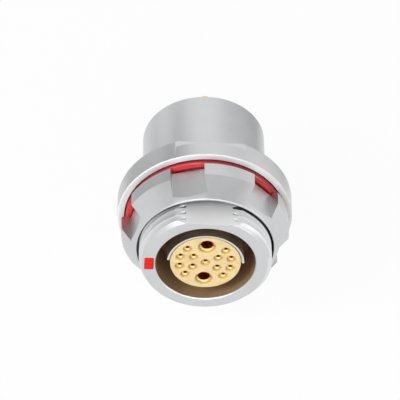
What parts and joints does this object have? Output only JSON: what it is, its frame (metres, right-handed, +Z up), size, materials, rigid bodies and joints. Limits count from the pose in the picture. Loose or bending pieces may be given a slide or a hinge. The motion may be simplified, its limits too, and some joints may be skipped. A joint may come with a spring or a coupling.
{
  "type": "push pull circular connector",
  "caption": "Sealed panel receptacle of a push-pull circular connector: threaded shell with flange and seal, notched round nut, half-round guide and a socket insert.",
  "frame": {"origin": "on the mating axis, in the plane of the flange face that bears on the back of the panel", "axes": "-Y out of the mating face, +Y along the solder tails, +Z up through the half-round guide, with the alignment mark at -X"},
  "size_m": [0.0212, 0.0258, 0.0212],
  "materials": {
    "plated_metal": "satin plating on turned brass",
    "guide_metal": "satin plating on turned brass",
    "seal_rubber": "smooth red silicone rubber",
    "mark_enamel": "red enamel fill",
    "front_insulation": "cream moulded insulator",
    "rear_insulation": "cream moulded insulator",
    "retainer_metal": "plain turned brass",
    "contact_gold": "gold plating on turned brass"
  },
  "bodies": {
    "receptacle": {"shell": "plated_metal", "sealing_ring": "seal_rubber", "guide_sleeve": "guide_metal", "rear_insulator": "rear_insulation", "front_insulator": "front_insulation", "retaining_ring": "retainer_metal", "alignment_mark": "mark_enamel", "power_contact_01": "contact_gold", "power_contact_02": "contact_gold", "signal_contact_01": "contact_gold", "signal_contact_02": "contact_gold", "signal_contact_03": "contact_gold", "signal_contact_04": "contact_gold", "signal_contact_05": "contact_gold", "signal_contact_06": "contact_gold", "signal_contact_07": "contact_gold", "signal_contact_08": "contact_gold", "signal_contact_09": "contact_gold", "signal_contact_10": "contact_gold", "signal_contact_11": "contact_gold", "signal_contact_12": "contact_gold", "signal_contact_13": "contact_gold"},
    "nut": {"panel_nut": "plated_metal"}
  },
  "joints": [
    {"name": "nut_turn", "type": "hinge", "parent": "receptacle", "child": "nut", "pos_m": [0, 0, 0], "axis": [0, 1, 0], "range_deg": [-360, 90]}
  ]
}
